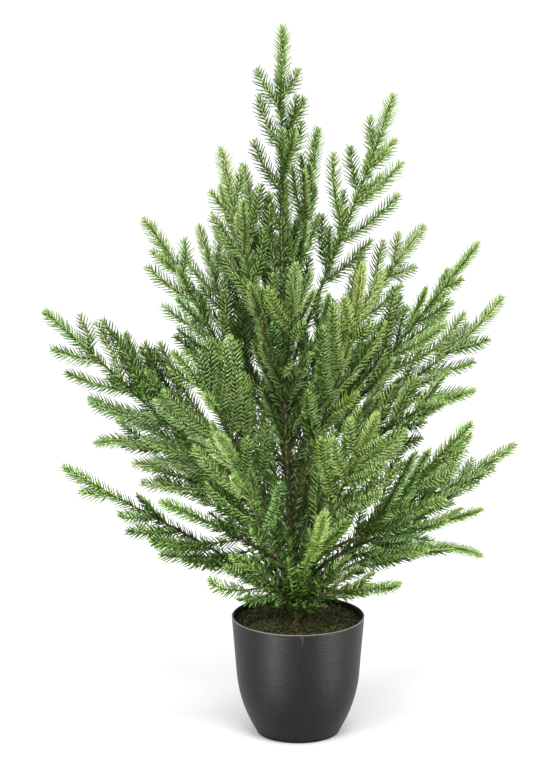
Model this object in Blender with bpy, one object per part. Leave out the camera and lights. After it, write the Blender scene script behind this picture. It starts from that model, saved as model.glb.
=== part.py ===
"""An artificial potted pine, about 0.68 m tall: a trunk, boughs and moulded sprays of needles
in a plain black pot that is filled to just under its rim.

Metres, +Z up. The origin is the centre of the pot's flat underside, -Y is the front and +X the
right. Every length is a real size; angles are in degrees.
"""
import math
import random
from collections import namedtuple

import bmesh
import bpy
from mathutils import Matrix, Vector
from mathutils.bvhtree import BVHTree

# Pot and fill
POT_HEIGHT = 0.1155
RIM_RADIUS = 0.0634
WALL = 0.0020
FLOOR = 0.0040
SIDE_TAPER = 0.082
BELLY_HEIGHT = 0.060
BELLY_DEPTH = 0.0150
BELLY_POWER = 2.15
FOOT_ROUND = 0.0022
LIP_ROUND = 0.0006
FLOOR_ROUND = 0.0020
POT_SIDES = 28
RING_HEIGHTS = (0.060, 0.040, 0.024, 0.011)
FILL_DROP = 0.0060
FILL_CROWN = 0.1120
FILL_BUMP = 0.0009
FILL_GAP = 0.0004
FILL_RINGS = ((0.046, 0.0012), (0.026, 0.0020))
TRUNK_SEAT = 0.0100

# Trunk
LEAN = 0.0161
LEAN_START = 0.108
FOOT_LEFT = 0.0005
TRUNK_TIP = 0.4995
TREE_TIP = 0.6786
TRUNK_RADIUS = 0.0042
TIP_RADIUS = 0.0016
FLARE = 0.0024
FLARE_HEIGHT = 0.012
TRUNK_SIDES = 8
TRUNK_RINGS = (0.0, 0.006, 0.016, 0.035)
TRUNK_PIECES = 6

# Boughs and twigs
GAP = 0.0003
STEP_OUT = 0.0001
FOOT_CLEAR = 0.0005
LINE_POINTS = 48
LINE_ARM = 0.36
TANGENT_STEP = 0.004
BOUGH_RADIUS = 0.0023
STEM_RADIUS = 0.0015
STEM_TIP_RADIUS = 0.0012
DIRECT_RADIUS = 0.0018
BOUGH_SIDES = 5
BOUGH_PIECES = 4
STEM_SIDES = 4
STEM_PIECE = 0.055
STEM_END = 0.9
SLANT_CLEAR = 1.4
SHORTEST_PIECE = 0.006
BARE = 0.28
SPRAY_STEP = 0.0132
STEP_SPREAD = 0.20
FIRST_SPRAY = 0.056
SET_ANGLE = 38.0
SET_SPREAD = 7.0
ROLL_SPREAD = 16.0
GROWTH = 0.60
LONGEST = 0.084
STANDING_SIZE = 0.62
INNER_FROM = 0.6
INNER_LOSS = 0.35
LIFT = 0.6
CURL = 0.42
END_ROOT = 0.005

# Needle blades
BLADE_HALF_WIDTH = 0.0062
CORE_HALF_WIDTH = 0.0021
STALK = 0.0030
STALK_HALF_WIDTH = 0.0008
STALK_THICKNESS = 0.0011
BLADE_SHARE = 0.86
BLADE_THICKNESS = 0.0017
CORE_TAPER = 0.35
RIDGE_TAPER = 0.4
TOOTH_SWEEP = 0.93
TOOTH_TAPER_FROM = 0.45
TOOTH_TAPER = 0.30
SHORT_BLADE = 0.080
LEAST_STANDING = 0.050
ROOT_SHARE = 0.2
TWISTS = (0.0, 0.35, -0.35, 0.75, -0.75, 1.2)
SIZES = (1.0, 0.75)

UP = Vector((0, 0, 1))

# One line a bough: where it leaves the trunk, which way it goes (0 right, 90 back, -90 front),
# how far out and how high its tip lies from there, its pitch as it leaves and as it ends, the
# roll of the plane its sprays lie in, their size, the seed of their spacing, and the share of
# its length that is a bare bough. Where that share is nothing the foliage starts at the trunk.
Bough = namedtuple("Bough", "name foot azimuth reach rise leaves ends roll size seed bare")

BOUGHS = (
    Bough("right_1", 0.338, 14, 0.105, 0.276, 72, 73, 80, 0.90, 706, BARE),
    Bough("right_2", 0.275, 48, 0.202, 0.190, 49, 35, 60, 0.90, 734, BARE),
    Bough("right_3", 0.208, -52, 0.105, 0.267, 72, 85, 10, 1.25, 374, BARE),
    Bough("right_4", 0.197, -12, 0.177, 0.289, 72, 54, 35, 0.80, 492, BARE),
    Bough("right_5", 0.244, 22, 0.222, 0.165, 50, 51, 85, 1.00, 690, BARE),
    Bough("right_6", 0.175, -28, 0.189, 0.182, 66, 17, 40, 1.05, 760, BARE),
    Bough("right_7", 0.123, -34, 0.192, 0.209, 54, 48, 85, 1.10, 252, BARE),
    Bough("right_8", 0.167, 24, 0.238, 0.092, 12, 27, 20, 0.80, 252, BARE),
    Bough("right_9", 0.136, -14, 0.180, 0.096, 58, 23, 10, 1.15, 432, BARE),
    Bough("right_10", 0.129, 30, 0.212, 0.014, 30, -26, 15, 0.85, 936, BARE),
    Bough("right_11", 0.117, -48, 0.140, 0.060, 50, 23, 35, 0.80, 355, 0.0),
    Bough("left_1", 0.322, -150, 0.068, 0.251, 72, 76, 60, 0.90, 445, BARE),
    Bough("left_2", 0.298, -174, 0.133, 0.205, 42, 52, 75, 0.90, 548, BARE),
    Bough("left_3", 0.306, 136, 0.115, 0.172, 32, 67, 90, 1.25, 456, 0.0),
    Bough("left_4", 0.222, 172, 0.235, 0.184, 26, 40, 85, 1.15, 593, BARE),
    Bough("left_5", 0.186, -132, 0.162, 0.216, 48, 40, 45, 1.25, 21, BARE),
    Bough("left_6", 0.123, -168, 0.223, 0.152, 43, 35, 85, 0.80, 915, BARE),
    Bough("left_7", 0.159, -146, 0.148, 0.092, 38, 28, 70, 1.25, 988, 0.0),
    Bough("left_8", 0.170, 152, 0.150, 0.060, 30, 9, 80, 0.80, 469, 0.0),
    Bough("left_9", 0.153, -118, 0.150, 0.176, 35, 41, 10, 1.25, 420, BARE),
    Bough("left_10", 0.147, -138, 0.107, 0.025, 12, 43, 95, 1.25, 707, 0.0),
    Bough("left_11", 0.237, 160, 0.165, 0.142, 27, 73, 95, 1.20, 518, 0.0),
    Bough("front_1", 0.146, -62, 0.158, 0.203, 55, 56, 95, 1.15, 3, BARE),
    Bough("front_2", 0.140, -78, 0.125, 0.112, 45, 62, 15, 1.25, 840, 0.0),
    Bough("front_3", 0.127, -100, 0.046, 0.057, 40, 61, 30, 1.05, 65, 0.0),
    Bough("front_4", 0.117, -130, 0.094, 0.079, 50, 30, 40, 1.00, 21, 0.0),
    Bough("front_5", 0.133, -52, 0.079, 0.057, 45, 40, 55, 1.25, 13, 0.0),
    Bough("back_1", 0.290, 90, 0.107, 0.229, 66, 72, 25, 1.25, 712, BARE),
    Bough("back_2", 0.241, 102, 0.170, 0.184, 52, 52, 30, 1.10, 180, BARE),
    Bough("back_3", 0.204, 76, 0.160, 0.191, 48, 40, 75, 1.25, 931, BARE),
    Bough("back_4", 0.185, 150, 0.222, 0.070, 38, -20, 80, 1.15, 885, 0.0),
    Bough("back_5", 0.150, 85, 0.203, 0.060, 35, 14, 50, 1.15, 300, 0.0),
    Bough("back_6", 0.194, 113, 0.210, 0.138, 40, 25, 15, 1.05, 877, 0.0),
    Bough("upper_front", 0.348, -80, 0.057, 0.120, 55, 75, 20, 1.25, 878, 0.0),
    Bough("upper_left", 0.414, 160, 0.039, 0.134, 50, 75, 65, 1.15, 479, 0.0),
    Bough("upper_right", 0.426, 20, 0.035, 0.156, 55, 78, 65, 0.95, 434, 0.0),
)
LEADER_RISE = TREE_TIP - TRUNK_TIP - GAP
LEADER = Bough("leader", TRUNK_TIP + GAP, 0, 0.001, LEADER_RISE, 90, 90, 90, 0.85, 339, 0.0)
LEADER_FIRST_SPRAY = 0.066


# Curves

def direction(azimuth, pitch):
    """Unit vector that points to an azimuth at a pitch above level."""
    a = math.radians(azimuth)
    p = math.radians(pitch)
    return Vector((math.cos(a) * math.cos(p), math.sin(a) * math.cos(p), math.sin(p)))


def trunk_axis(height):
    """The trunk's centre at a height: it leans left, most of it low down."""
    climb = min(max((height - LEAN_START) / (TREE_TIP - LEAN_START), 0.0), 1.0)
    return Vector((-LEAN * (1 - (1 - climb) ** 3) - FOOT_LEFT, 0.0, height))


def trunk_radius(height):
    """A straight taper to the tip, with the root flare added at the foot."""
    climb = height - FILL_CROWN
    taper = (TRUNK_RADIUS - TIP_RADIUS) * min(max(climb / (TRUNK_TIP - FILL_CROWN), 0.0), 1.0)
    return TRUNK_RADIUS - taper + FLARE * math.exp(-climb / FLARE_HEIGHT)


class Line:
    """A curved centre line, read by the length along it."""

    def __init__(self, points):
        self.points = points
        self.marks = [0.0]
        for a, b in zip(points, points[1:]):
            self.marks.append(self.marks[-1] + (b - a).length)
        self.length = self.marks[-1]

    def at(self, s):
        s = min(max(s, 0.0), self.length)
        i = 1
        while self.marks[i] < s and i < len(self.marks) - 1:
            i += 1
        share = (s - self.marks[i - 1]) / (self.marks[i] - self.marks[i - 1])
        return self.points[i - 1].lerp(self.points[i], share)

    def tangent(self, s):
        return (self.at(s + TANGENT_STEP) - self.at(s - TANGENT_STEP)).normalized()


def bough_line(bough):
    """A cubic curve from the trunk's axis to the bough's tip."""
    start = trunk_axis(bough.foot)
    end = start + direction(bough.azimuth, 0) * bough.reach + UP * bough.rise
    arm = LINE_ARM * (end - start).length
    first = start + direction(bough.azimuth, bough.leaves) * arm
    last = end - direction(bough.azimuth, bough.ends) * arm
    points = []
    for i in range(LINE_POINTS):
        t = i / (LINE_POINTS - 1)
        u = 1 - t
        points.append(u ** 3 * start + 3 * u * u * t * first + 3 * u * t * t * last + t ** 3 * end)
    return Line(points)


def leaves_trunk_at(line):
    """The length along a line at which a limb's whole foot is out of the trunk, with the gap."""
    s = 0.0
    while s < line.length:
        point = line.at(s)
        tangent = line.tangent(s)
        foot_drop = BOUGH_RADIUS * abs(tangent.z) / math.hypot(tangent.x, tangent.y)
        out = point - trunk_axis(point.z)
        if out.length >= trunk_radius(point.z - foot_drop) + FOOT_CLEAR:
            return s
        s += STEP_OUT
    return 0.0


# The growth rule

Spray = namedtuple("Spray", "place root along bend face length standing")


def sprays_on(bough, line, first=FIRST_SPRAY):
    """Side sprays from the tip down: left, right, then one that stands out of their plane."""
    dice = random.Random(bough.seed)
    side = dice.choice((-1, 1))
    across_level = direction(bough.azimuth + 90, 0)
    leafy = line.length * (1 - bough.bare) - STALK
    sprays = []
    from_tip = first
    count = 0
    while from_tip < leafy:
        s = line.length - from_tip
        stem = line.tangent(s)
        across_steep = stem.cross(across_level).normalized()
        standing = count % 3 == 2
        sign = side
        if standing:
            sign = 1 if (count // 3) % 2 else -1
        turn = bough.roll + (90 if standing else 0)
        roll = math.radians(turn + dice.uniform(-ROLL_SPREAD, ROLL_SPREAD))
        across = sign * (math.cos(roll) * across_level + math.sin(roll) * across_steep)
        angle = math.radians(SET_ANGLE + dice.uniform(-SET_SPREAD, SET_SPREAD))
        along = math.cos(angle) * stem + math.sin(angle) * across
        length = min(GROWTH * from_tip, LONGEST) * bough.size * dice.uniform(0.8, 1.12)
        length *= STANDING_SIZE if standing else 1.0
        length *= 1 - INNER_LOSS * max(0.0, from_tip / leafy - INNER_FROM) / (1 - INNER_FROM)
        bend = stem + LIFT * UP
        bend = (bend - along * bend.dot(along)).normalized()
        face = stem.cross(across).normalized()
        sprays.append(Spray(s, line.at(s), along, bend, face, length, standing))
        from_tip += SPRAY_STEP * dice.uniform(1 - STEP_SPREAD, 1 + STEP_SPREAD)
        if not standing:
            side = -side
        count += 1
    return sprays


# Meshes

def tube_points(line, stations, radii, sides, seat=None):
    """Rings across a line; with a seat the first ring lies in the plane that the seat faces."""
    rings = []
    tangent = line.tangent(stations[0])
    normal = tangent.orthogonal().normalized()
    for k, s in enumerate(stations):
        centre = line.at(s)
        turned = line.tangent(s)
        normal = (normal - turned * normal.dot(turned)).normalized()
        other = turned.cross(normal)
        ring = []
        for i in range(sides):
            a = math.tau * i / sides
            offset = radii[k] * (math.cos(a) * normal + math.sin(a) * other)
            if k == 0 and seat is not None:
                offset -= turned * (offset.dot(seat) / turned.dot(seat))
            ring.append(centre + offset)
        rings.append(ring)
    return rings


def ring_faces(rings, sides):
    """Closed tube through the rings, capped at both ends, faces outward."""
    points = [p for ring in rings for p in ring]
    faces = [tuple(reversed(range(sides)))]
    for k in range(len(rings) - 1):
        for i in range(sides):
            j = (i + 1) % sides
            faces.append((k * sides + i, k * sides + j, (k + 1) * sides + j, (k + 1) * sides + i))
    last = (len(rings) - 1) * sides
    faces.append(tuple(range(last, last + sides)))
    return points, faces


def limb_stations(line, begin, end, pieces, start_radius, seat=None):
    """Even lengths along a limb; with a slanted foot the second lies clear of the slant."""
    stations = [begin + (end - begin) * i / pieces for i in range(pieces + 1)]
    if seat is not None:
        lean = line.tangent(begin).dot(seat)
        slant = start_radius * math.sqrt(max(1 - lean * lean, 0.0)) / lean
        stations[1] = begin + max(SLANT_CLEAR * slant, SHORTEST_PIECE)
        for i in range(2, pieces + 1):
            stations[i] = stations[1] + (end - stations[1]) * (i - 1) / (pieces - 1)
    return stations


def limb_shape(line, stations, start_radius, end_radius, sides, grow=0.0, seat=None):
    """A tapering limb through its stations."""
    radii = []
    for s in stations:
        share = (s - stations[0]) / (stations[-1] - stations[0])
        radii.append(start_radius + (end_radius - start_radius) * share + grow)
    return ring_faces(tube_points(line, stations, radii, sides, seat), sides)


def blade_shape(spray, twist=0.0, grow=0.0):
    """A toothed blade on a short stalk: flat below, ridged above, teeth swept towards the tip.

    Returns points, faces and how far along the blade each point is, from 0 to 1.
    """
    teeth = 2 if spray.length < SHORT_BLADE else 3
    begins = STALK / spray.length
    pitch = (BLADE_SHARE - begins) / teeth
    points = []
    places = []

    def place(u, off, rise, back=0.0):
        centre = spray.root + spray.length * (u * spray.along + 0.5 * CURL * u * u * spray.bend)
        tangent = (spray.along + CURL * u * spray.bend).normalized()
        face = Matrix.Rotation(twist, 3, tangent) @ spray.face
        side = face.cross(tangent).normalized()
        points.append(centre - tangent * back + side * off + tangent.cross(side) * rise)
        places.append(u)
        return len(points) - 1

    def rib(u, half, thick, back=0.0):
        low = -grow
        left = place(u, -half - grow, low, back)
        ridge = place(u, 0.0, thick + grow, back)
        return left, ridge, place(u, half + grow, low, back)

    root = rib(begins, STALK_HALF_WIDTH, STALK_THICKNESS, STALK)
    ribs = [rib(begins, STALK_HALF_WIDTH, STALK_THICKNESS)]
    for i in range(1, teeth + 1):
        u = begins + pitch * i
        half = CORE_HALF_WIDTH * (1 - CORE_TAPER * u)
        ribs.append(rib(u, half, BLADE_THICKNESS * (1 - RIDGE_TAPER * u)))
    faces = [root]
    for a, b in ((0, 1), (1, 2), (2, 0)):
        faces.append((root[b], root[a], ribs[0][a], ribs[0][b]))
    for i in range(teeth):
        left, ridge, right = ribs[i]
        next_left, next_ridge, next_right = ribs[i + 1]
        u = begins + pitch * (i + TOOTH_SWEEP)
        past = max(0.0, u - TOOTH_TAPER_FROM) / (1 - TOOTH_TAPER_FROM)
        reach = BLADE_HALF_WIDTH * (1 - TOOTH_TAPER * past) + grow
        tooth_left = place(u, -reach, -0.2 * grow)
        tooth_right = place(u, reach, -0.2 * grow)
        faces += [(left, tooth_left, ridge), (tooth_left, next_left, next_ridge)]
        faces += [(tooth_left, next_ridge, ridge)]
        faces += [(right, ridge, tooth_right), (tooth_right, next_ridge, next_right)]
        faces += [(tooth_right, ridge, next_ridge)]
        faces += [(left, next_left, tooth_left), (right, tooth_right, next_right)]
        faces += [(left, right, next_right), (left, next_right, next_left)]
    left, ridge, right = ribs[-1]
    tip = place(1.0, 0.0, 0.0)
    faces += [(left, tip, ridge), (right, ridge, tip), (left, right, tip)]
    return points, faces, places


# Placing the sprays

class Shape:
    """Points and faces with the box around them, for asking what touches what."""

    def __init__(self, points, faces):
        self.tree = BVHTree.FromPolygons([tuple(p) for p in points], faces)
        self.low = Vector([min(p[i] for p in points) for i in range(3)])
        self.high = Vector([max(p[i] for p in points) for i in range(3)])

    def touches(self, other):
        for i in range(3):
            if self.low[i] > other.high[i] or other.low[i] > self.high[i]:
                return False
        return bool(self.tree.overlap(other.tree))


class Mass:
    """One bough with the mass of foliage that it carries."""

    def __init__(self, bough, first=FIRST_SPRAY):
        self.bough = bough
        self.line = bough_line(bough)
        self.first = first
        self.at_trunk = bough is not LEADER
        self.begin = leaves_trunk_at(self.line) if self.at_trunk else 0.0
        self.split = self.line.length * bough.bare
        self.stem_end = self.line.length - STEM_END * first
        self.plan = sprays_on(bough, self.line, first)
        self.blades = []
        begin = self.split + GAP / 2
        seat = None
        if not bough.bare:
            begin = self.begin
            seat = self.seat() if self.at_trunk else None
        pieces = max(2, round((self.stem_end - begin) / STEM_PIECE)) + (1 if seat else 0)
        self.stations = limb_stations(self.line, begin, self.stem_end, pieces, STEM_RADIUS, seat)

    def seat(self):
        """Which way the trunk's face looks where the limb meets it."""
        point = self.line.at(self.begin)
        out = point - trunk_axis(point.z)
        up = (trunk_axis(point.z + 0.01) - trunk_axis(point.z - 0.01)).normalized()
        return (out - up * out.dot(up)).normalized()

    def limb(self, grow=0.0):
        """The bare bough, or nothing where the foliage starts at the trunk."""
        if not self.bough.bare:
            return None
        seat = self.seat()
        end = self.split - GAP / 2
        stations = limb_stations(self.line, self.begin, end, BOUGH_PIECES, BOUGH_RADIUS, seat)
        return limb_shape(self.line, stations, BOUGH_RADIUS, STEM_RADIUS, BOUGH_SIDES, grow, seat)

    def stem(self, grow=0.0):
        """The stem of the foliage, which carries on from the bough or starts at the trunk."""
        direct = self.at_trunk and not self.bough.bare
        wide = DIRECT_RADIUS if direct else STEM_RADIUS
        seat = self.seat() if direct else None
        return limb_shape(self.line, self.stations, wide, STEM_TIP_RADIUS, STEM_SIDES, grow, seat)

    def on_stem(self, s):
        """A point inside the stem's straight pieces, close to the curve they follow."""
        marks = self.stations
        i = 1
        while marks[i] < s and i < len(marks) - 1:
            i += 1
        share = (s - marks[i - 1]) / (marks[i] - marks[i - 1])
        return self.line.at(marks[i - 1]).lerp(self.line.at(marks[i]), share)

    def end_spray(self):
        """The spray that the stem ends in."""
        root_at = self.stem_end - END_ROOT
        root = self.on_stem(root_at)
        along = self.line.points[-1] - root
        stem = self.line.tangent(root_at)
        level = direction(self.bough.azimuth + 90, 0)
        roll = math.radians(self.bough.roll)
        across = math.cos(roll) * level + math.sin(roll) * stem.cross(level)
        face = along.cross(across).normalized()
        straight = Vector((0.0, 0.0, 0.0))
        return Spray(root_at, root, along.normalized(), straight, face, along.length, False)


def outer_faces(faces, places):
    """The faces of a blade that lie clear of its root."""
    return [f for f in faces if min(places[i] for i in f) > ROOT_SHARE]


def place_sprays(masses, fixed):
    """Give each mass its sprays in turn; one that would touch a limb or a neighbour is skipped."""
    limbs = [(None, shape) for shape in fixed]
    for mass in masses:
        for shape in (mass.limb(GAP), mass.stem(GAP)):
            if shape is not None:
                limbs.append((mass, Shape(*shape)))
    taken = []

    def try_spray(mass, spray):
        for size in SIZES:
            sized = spray._replace(length=spray.length * size)
            for twist in TWISTS:
                points, faces, places = blade_shape(sized, twist, GAP)
                whole = Shape(points, faces)
                if any(owner is not mass and whole.touches(shape) for owner, shape in limbs):
                    continue
                if any(owner is not mass and whole.touches(full) for owner, full, outer in taken):
                    continue
                outer = Shape(points, outer_faces(faces, places))
                if any(owner is mass and outer.touches(other) for owner, full, other in taken):
                    continue
                mass.blades.append(blade_shape(sized, twist)[:2])
                taken.append((mass, whole, outer))
                return

    for mass in masses:
        try_spray(mass, mass.end_spray())
    for i in range(max(len(mass.plan) for mass in masses)):
        for mass in masses:
            if i < len(mass.plan):
                spray = mass.plan[i]
                if spray.standing and spray.length < LEAST_STANDING:
                    continue
                try_spray(mass, spray._replace(root=mass.on_stem(spray.place)))


# Objects

def clear_scene():
    for obj in list(bpy.data.objects):
        bpy.data.objects.remove(obj, do_unlink=True)


def material(name, colour, roughness, metallic=0.0):
    mat = bpy.data.materials.new(name)
    mat.use_nodes = True
    shader = mat.node_tree.nodes["Principled BSDF"]
    shader.inputs["Base Color"].default_value = (*colour, 1.0)
    shader.inputs["Roughness"].default_value = roughness
    shader.inputs["Metallic"].default_value = metallic
    return mat


def add_object(name, points, faces, mat, collection=None, smooth=None):
    mesh = bpy.data.meshes.new(name)
    mesh.from_pydata([tuple(p) for p in points], [], faces)
    mesh.materials.append(mat)
    obj = bpy.data.objects.new(name, mesh)
    (collection or bpy.context.scene.collection).objects.link(obj)
    if smooth is not None:
        mesh.shade_smooth()
        mesh.set_sharp_from_angle(angle=math.radians(smooth))
    return obj


def is_sound(mesh):
    """One closed body with no loose or doubled edges."""
    bm = bmesh.new()
    bm.from_mesh(mesh)
    closed = all(edge.is_manifold for edge in bm.edges) and len(bm.faces) > 0
    seen = set()
    if closed:
        waiting = [bm.verts[:][0]]
        seen.add(waiting[0].index)
        while waiting:
            for edge in waiting.pop().link_edges:
                for vert in edge.verts:
                    if vert.index not in seen:
                        seen.add(vert.index)
                        waiting.append(vert)
    whole = closed and len(seen) == len(bm.verts)
    bm.free()
    return whole


def add_mass(mass, mat):
    """Fuse a mass's stem and blades into one closed body."""
    name = "foliage_" + mass.bough.name
    body = add_object(name, *mass.stem(), mat)
    parts = bpy.data.collections.new(name + "_sprays")
    bpy.context.scene.collection.children.link(parts)
    for i, (points, faces) in enumerate(mass.blades):
        add_object(f"{name}_spray_{i}", points, faces, mat, parts)
    union = body.modifiers.new("fuse", "BOOLEAN")
    union.operation = "UNION"
    union.operand_type = "COLLECTION"
    union.collection = parts
    for solver in ("EXACT", "MANIFOLD"):
        union.solver = solver
        bpy.context.view_layer.update()
        fused = bpy.data.meshes.new_from_object(body.evaluated_get(bpy.context.evaluated_depsgraph_get()))
        if is_sound(fused):
            break
    body.modifiers.clear()
    body.data = fused
    for obj in list(parts.objects):
        bpy.data.objects.remove(obj, do_unlink=True)
    bpy.data.collections.remove(parts)
    return body


# Pot and fill

def pot_radius(height):
    """Outer radius of the pot: a straight taper, drawn in towards the foot."""
    radius = RIM_RADIUS - SIDE_TAPER * (POT_HEIGHT - height)
    if height < BELLY_HEIGHT:
        radius -= BELLY_DEPTH * (1 - height / BELLY_HEIGHT) ** BELLY_POWER
    return radius


def turned(profile, sides=POT_SIDES, bump=0.0, seed=0):
    """Turn a profile that starts and ends on the axis; bump lifts its inner rings by chance."""
    dice = random.Random(seed)
    points = [(0.0, 0.0, profile[0][1])]
    faces = []
    rings = profile[1:-1]
    for radius, height, loose in rings:
        for i in range(sides):
            a = math.tau * i / sides
            lift = dice.uniform(-bump, bump) if loose else 0.0
            points.append((radius * math.cos(a), radius * math.sin(a), height + lift))
    points.append((0.0, 0.0, profile[-1][1]))
    top = len(points) - 1
    last = 1 + (len(rings) - 1) * sides
    for i in range(sides):
        j = (i + 1) % sides
        faces.append((0, 1 + j, 1 + i))
        faces.append((top, last + i, last + j))
        for k in range(len(rings) - 1):
            a = 1 + k * sides
            b = a + sides
            faces.append((a + i, a + j, b + j, b + i))
    return points, faces


def pot_shape():
    """The wall up from the flat underside, over the rim and down to the floor inside."""
    outer = [(pot_radius(0.0) - FOOT_ROUND, 0.0, False)]
    outer += [(pot_radius(FOOT_ROUND), FOOT_ROUND, False)]
    outer += [(pot_radius(z), z, False) for z in reversed(RING_HEIGHTS)]
    outer += [(RIM_RADIUS, POT_HEIGHT - LIP_ROUND, False), (RIM_RADIUS - LIP_ROUND, POT_HEIGHT, False)]
    inner = [(RIM_RADIUS - WALL, POT_HEIGHT, False)]
    inner += [(pot_radius(z) - WALL, z, False) for z in RING_HEIGHTS]
    inner += [(pot_radius(FLOOR) - WALL - FLOOR_ROUND, FLOOR, False)]
    return turned([(0.0, 0.0)] + outer + inner + [(0.0, FLOOR)])


def fill_shape():
    """The fill: it follows the wall inside, domes gently and is flat where the trunk stands."""
    edge = POT_HEIGHT - FILL_DROP
    wall = [(pot_radius(FLOOR) - WALL - FLOOR_ROUND - GAP, FLOOR + GAP, False)]
    wall += [(pot_radius(z) - WALL - FILL_GAP, z, False) for z in reversed(RING_HEIGHTS[::2])]
    wall += [(pot_radius(edge) - WALL - FILL_GAP, edge, False)]
    top = [(radius, edge + rise, True) for radius, rise in FILL_RINGS]
    top += [(TRUNK_SEAT, FILL_CROWN, False)]
    return turned([(0.0, FLOOR + GAP)] + wall + top + [(0.0, FILL_CROWN)], bump=FILL_BUMP, seed=4)


def trunk_shape(grow=0.0):
    """The trunk from its flat foot on the fill to its tip."""
    foot = FILL_CROWN + GAP
    heights = [foot + rise for rise in TRUNK_RINGS]
    rest = TRUNK_TIP - heights[-1]
    heights += [heights[-1] + rest * i / TRUNK_PIECES for i in range(1, TRUNK_PIECES + 1)]
    rings = []
    for z in heights:
        centre = trunk_axis(z)
        radius = trunk_radius(z) + grow
        turns = [math.tau * (i + 0.5) / TRUNK_SIDES for i in range(TRUNK_SIDES)]
        rings.append([centre + radius * Vector((math.cos(a), math.sin(a), 0.0)) for a in turns])
    return ring_faces(rings, TRUNK_SIDES)


def main():
    clear_scene()
    plastic = material("pot_plastic", (0.035, 0.034, 0.033), 0.42)
    moss = material("moss_fill", (0.035, 0.032, 0.014), 0.95)
    bark = material("brown_bark", (0.075, 0.045, 0.022), 0.7)
    needle = material("green_needle", (0.075, 0.17, 0.035), 0.5)

    add_object("pot", *pot_shape(), plastic, smooth=40)
    add_object("fill", *fill_shape(), moss)
    add_object("trunk", *trunk_shape(), bark, smooth=60)

    masses = [Mass(bough) for bough in BOUGHS] + [Mass(LEADER, LEADER_FIRST_SPRAY)]
    fixed = [Shape(*trunk_shape(GAP)), Shape(*pot_shape()), Shape(*fill_shape())]
    place_sprays(masses, fixed)
    for mass in masses:
        if mass.bough.bare:
            add_object("bough_" + mass.bough.name, *mass.limb(), bark, smooth=60)
        add_mass(mass, needle)


main()
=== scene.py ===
# %% [markdown]
# # An artificial potted pine
# The object is a tabletop tree: a wire trunk and boughs in brown sleeves, moulded sprays of soft
# plastic needles, and a plain black pot with a mossy filler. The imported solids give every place
# and size. This script puts the real surfaces in their place and lights them.

# %% Load the frame
import math
import random
from collections import namedtuple

import bpy
import numpy as np
from mathutils import Matrix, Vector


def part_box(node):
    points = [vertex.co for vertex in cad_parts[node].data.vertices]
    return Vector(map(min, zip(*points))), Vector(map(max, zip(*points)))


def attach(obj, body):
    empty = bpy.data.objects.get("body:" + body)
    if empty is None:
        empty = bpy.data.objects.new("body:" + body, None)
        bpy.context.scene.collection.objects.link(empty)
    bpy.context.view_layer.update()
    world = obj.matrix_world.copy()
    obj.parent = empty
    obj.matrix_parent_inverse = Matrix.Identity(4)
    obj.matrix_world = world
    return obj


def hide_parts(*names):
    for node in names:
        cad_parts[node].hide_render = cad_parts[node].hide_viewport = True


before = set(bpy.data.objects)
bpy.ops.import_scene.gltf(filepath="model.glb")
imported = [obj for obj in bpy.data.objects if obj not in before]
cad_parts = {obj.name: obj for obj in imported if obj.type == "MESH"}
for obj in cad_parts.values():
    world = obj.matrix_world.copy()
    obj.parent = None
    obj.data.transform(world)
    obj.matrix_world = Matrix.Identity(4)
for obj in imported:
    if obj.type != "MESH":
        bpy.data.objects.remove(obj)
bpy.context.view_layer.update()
BODY = "root"
ALL_NODES = sorted(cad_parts)
FOLIAGE_NODES = [n for n in ALL_NODES if n.startswith("foliage_")]
BOUGH_NODES = [n for n in ALL_NODES if n.startswith("bough_")]
print("frame:", len(ALL_NODES), "nodes,", len(FOLIAGE_NODES), "masses of foliage")

# %% [markdown]
# ## Meshes from arrays
# Everything new here is a grid of points worked out with numpy. A closed grid becomes a mesh
# when its neighbouring points are joined into four-cornered faces, so one helper turns arrays of
# points and faces into an object, and the rest of the script only thinks about shapes.

# %% Mesh helpers
def add_piece(name, points, faces, finish, nodes, marks=None):
    """A smooth mesh object from points (n, 3) and face arrays of 3 or 4 corners each.

    marks gives point attributes by name, which the finish may read. The piece rides on the
    tree's one body and stands for the CAD nodes that are named."""
    mesh = bpy.data.meshes.new(name)
    mesh.vertices.add(len(points))
    mesh.vertices.foreach_set("co", np.asarray(points, np.float32).ravel())
    corners = np.concatenate([f.ravel() for f in faces])
    sizes = np.concatenate([np.full(len(f), f.shape[1]) for f in faces])
    mesh.loops.add(len(corners))
    mesh.loops.foreach_set("vertex_index", corners.astype(np.int32))
    mesh.polygons.add(len(sizes))
    mesh.polygons.foreach_set("loop_start", (np.cumsum(sizes) - sizes).astype(np.int32))
    for key, values in (marks or {}).items():
        mesh.attributes.new(key, "FLOAT", "POINT").data.foreach_set("value", np.float32(values))
    mesh.update(calc_edges=True)
    mesh.shade_smooth()
    mesh.materials.append(finish.material)
    piece = bpy.data.objects.new(name, mesh)
    bpy.context.scene.collection.objects.link(piece)
    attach(piece, BODY)
    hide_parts(*nodes)
    triangles = int((sizes - 2).sum())
    print(f"{name}: {len(points)} points, {triangles} triangles")
    return piece


def unit(v):
    """Vectors of length one along the last axis."""
    return v / np.maximum(np.linalg.norm(v, axis=-1, keepdims=True), 1e-9)


def ring_grid(rings, sides, first=0):
    """Four-cornered faces that join each ring of points to the next, closed round the ring."""
    k, i = np.meshgrid(np.arange(rings - 1), np.arange(sides), indexing="ij")
    j = (i + 1) % sides
    a = first + k * sides
    return np.stack([a + i, a + j, a + sides + j, a + sides + i], -1).reshape(-1, 4)


def fan(centre, ring, flip=False):
    """Triangles from one point to a ring of points, which close a pole."""
    ring = np.asarray(ring)
    after = np.roll(ring, -1)
    middle = np.full(len(ring), centre)
    return np.stack([middle, after, ring] if flip else [middle, ring, after], -1)


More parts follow.
